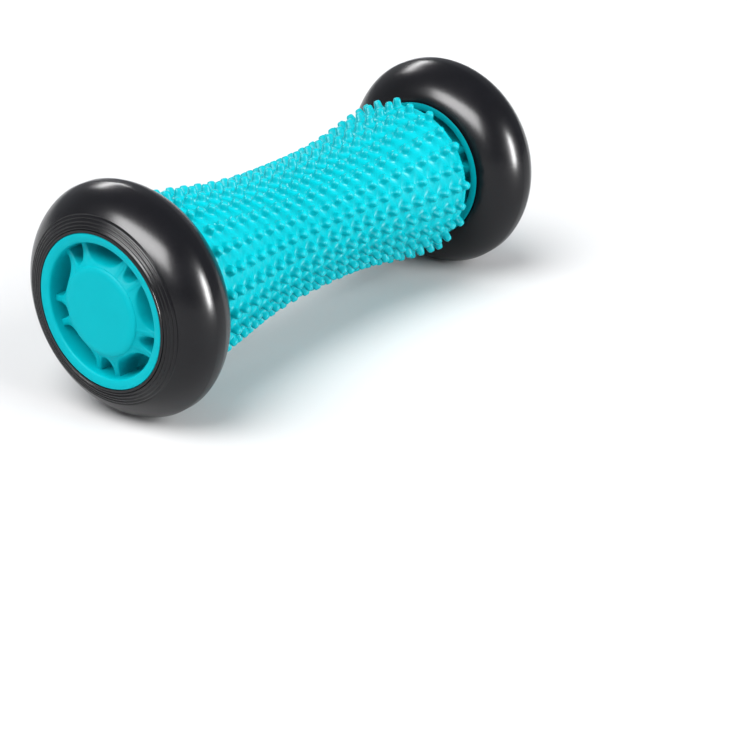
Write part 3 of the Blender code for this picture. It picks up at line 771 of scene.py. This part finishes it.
spacer_low, spacer_high = (corner.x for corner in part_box("right_spacer"))
spacer_profile = rounded([(spacer_radius, spacer_high), (spacer_radius, spacer_low),
                          (axle_bore, spacer_low), (axle_bore, spacer_high)],
                         [0.4 * MM, 0.4 * MM, 0.2 * MM, 0.2 * MM])
roller_bush = bush_profile(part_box("right_roller_bush")[1].x - roller_place, 1, 7.0 * MM)
wheel_bush_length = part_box("right_inner_bush")[1].x - hub_back - flange_thickness
wheel_bush = bush_profile(hub_back, -1, wheel_bush_length)
turned_pieces = [
    ("end_plate_disc", plate_profile, glossy_polypropylene, "roller", "roller_turquoise", "end_plate"),
    ("roller_flanged_bush", roller_bush, white_acetal, "roller", "bush_white", "roller_bush"),
    ("wheel_flanged_bush", wheel_bush, white_acetal, "wheel", "bush_white", "inner_bush"),
    ("spacer_ring", spacer_profile, dark_nylon, "axle_body", "inner_plastic", "spacer"),
]
for side in ("left", "right"):
    for name, profile, material, body, slot, node in turned_pieces:
        rides_on = f"{side}_wheel" if body == "wheel" else body
        slide = Matrix.Translation((roller_place if body == "roller" else 0.0, 0, 0))
        finish_piece(f"{side}_{name}", turn_profile(profile, 64), slide @ side_turn(side), material,
                     rides_on, [f"{side}_{node}"])

# %% [markdown]
# ## The floor
# A studio floor is a wide sheet of white paper or vinyl. It is pale but not pure white, so that the
# soft shadows still show, and a very faint mottle keeps it from looking like a flat fill.

# %% Floor
def studio_floor():
    bm = bmesh.new()
    bmesh.ops.create_grid(bm, x_segments=8, y_segments=8, size=4.0)
    bmesh.ops.translate(bm, verts=bm.verts, vec=(0, 0, floor_height))
    mesh = bpy.data.meshes.new("studio_floor")
    bm.to_mesh(mesh)
    bm.free()
    material, tree, shader, place = start_material("matt_white_vinyl", Roughness=0.75)
    blend_shades(tree, shader, noise(tree, place, 1 / 6, 4.0), "#CCCCCC", "#D0D0D0")
    mesh.materials.append(material)
    floor = bpy.data.objects.new("studio_floor", mesh)
    bpy.context.scene.collection.objects.link(floor)


studio_floor()
print("floor at", round(floor_height / MM, 2), "mm")

# %% [markdown]
# ## Light
# Product light does two jobs: it shades the shape, and it draws highlights on the gloss. Here each
# job has its own lights, so that either can be changed alone. A dim room, a wide ceiling light from
# the left and a front light from the right do the shading. Three softboxes draw the highlights: a broad
# one on the left, a tall narrow one in front that runs a long streak down each tyre, and a small one
# behind that catches the tops of the wheels.

# %% Room and softboxes
def add_light(name, kind, power, facing):
    light = bpy.data.lights.new(name, kind)
    light.energy = power
    thing = bpy.data.objects.new(name, light)
    thing.rotation_euler = Vector(facing).to_track_quat("Z", "Y").to_euler()
    bpy.context.scene.collection.objects.link(thing)
    return thing, light


def wide_light(name, towards, strength, spread):
    """A huge soft source, so far away that it is given as a direction. It shades, but draws no highlight."""
    thing, light = add_light(name, "SUN", strength, towards)
    light.angle = math.radians(spread)
    thing.visible_glossy = False


def softbox(name, place, width, height, power):
    """A panel that faces the roller. It draws a highlight, and leaves the shading to the wide lights."""
    thing, light = add_light(name, "AREA", power, place)
    light.shape = "RECTANGLE"
    light.size, light.size_y = width, height
    thing.location = place
    thing.visible_diffuse = False


world = bpy.data.worlds.new("bright_room")
world.use_nodes = True
room = world.node_tree.nodes["Background"]
room.inputs["Color"].default_value = paint("#F4F8FF")
room.inputs["Strength"].default_value = 0.38
bpy.context.scene.world = world
wide_light("ceiling_light", (-0.45, 0.05, 0.88), 3.5, 45)
wide_light("front_light", (0.15, -0.90, 0.42), 3.3, 40)
softbox("key_softbox", (-0.80, 0.03, 0.52), 0.85, 0.38, 27.0)
softbox("strip_softbox", (-0.09, -1.60, 0.30), 0.22, 0.85, 60.0)
softbox("rim_softbox", (0.27, 0.65, 0.56), 0.44, 0.13, 3.6)

# %% [markdown]
# ## Camera
# The camera looks down at the roller by 25 degrees from the front left, with a long lens, as a
# product photographer stands back to keep the shape true. Depth of field stays off.

# %% Camera
camera_pitch, camera_heading = math.radians(65.03), math.radians(-52.93)
lens = bpy.data.cameras.new("camera")
lens.lens, lens.sensor_width = 95.26, 36.0
lens.clip_start, lens.clip_end = 0.02, 20.0
camera = bpy.data.objects.new("camera", lens)
camera.location = (-0.4592, -0.3776, 0.2234)
camera.rotation_euler = (camera_pitch, 0.0, camera_heading)
bpy.context.scene.collection.objects.link(camera)
bpy.context.scene.camera = camera
bpy.context.scene.view_settings.view_transform = "Standard"
print("camera", round(camera.location.length, 3), "m from the roller, lens", round(lens.lens, 1), "mm")
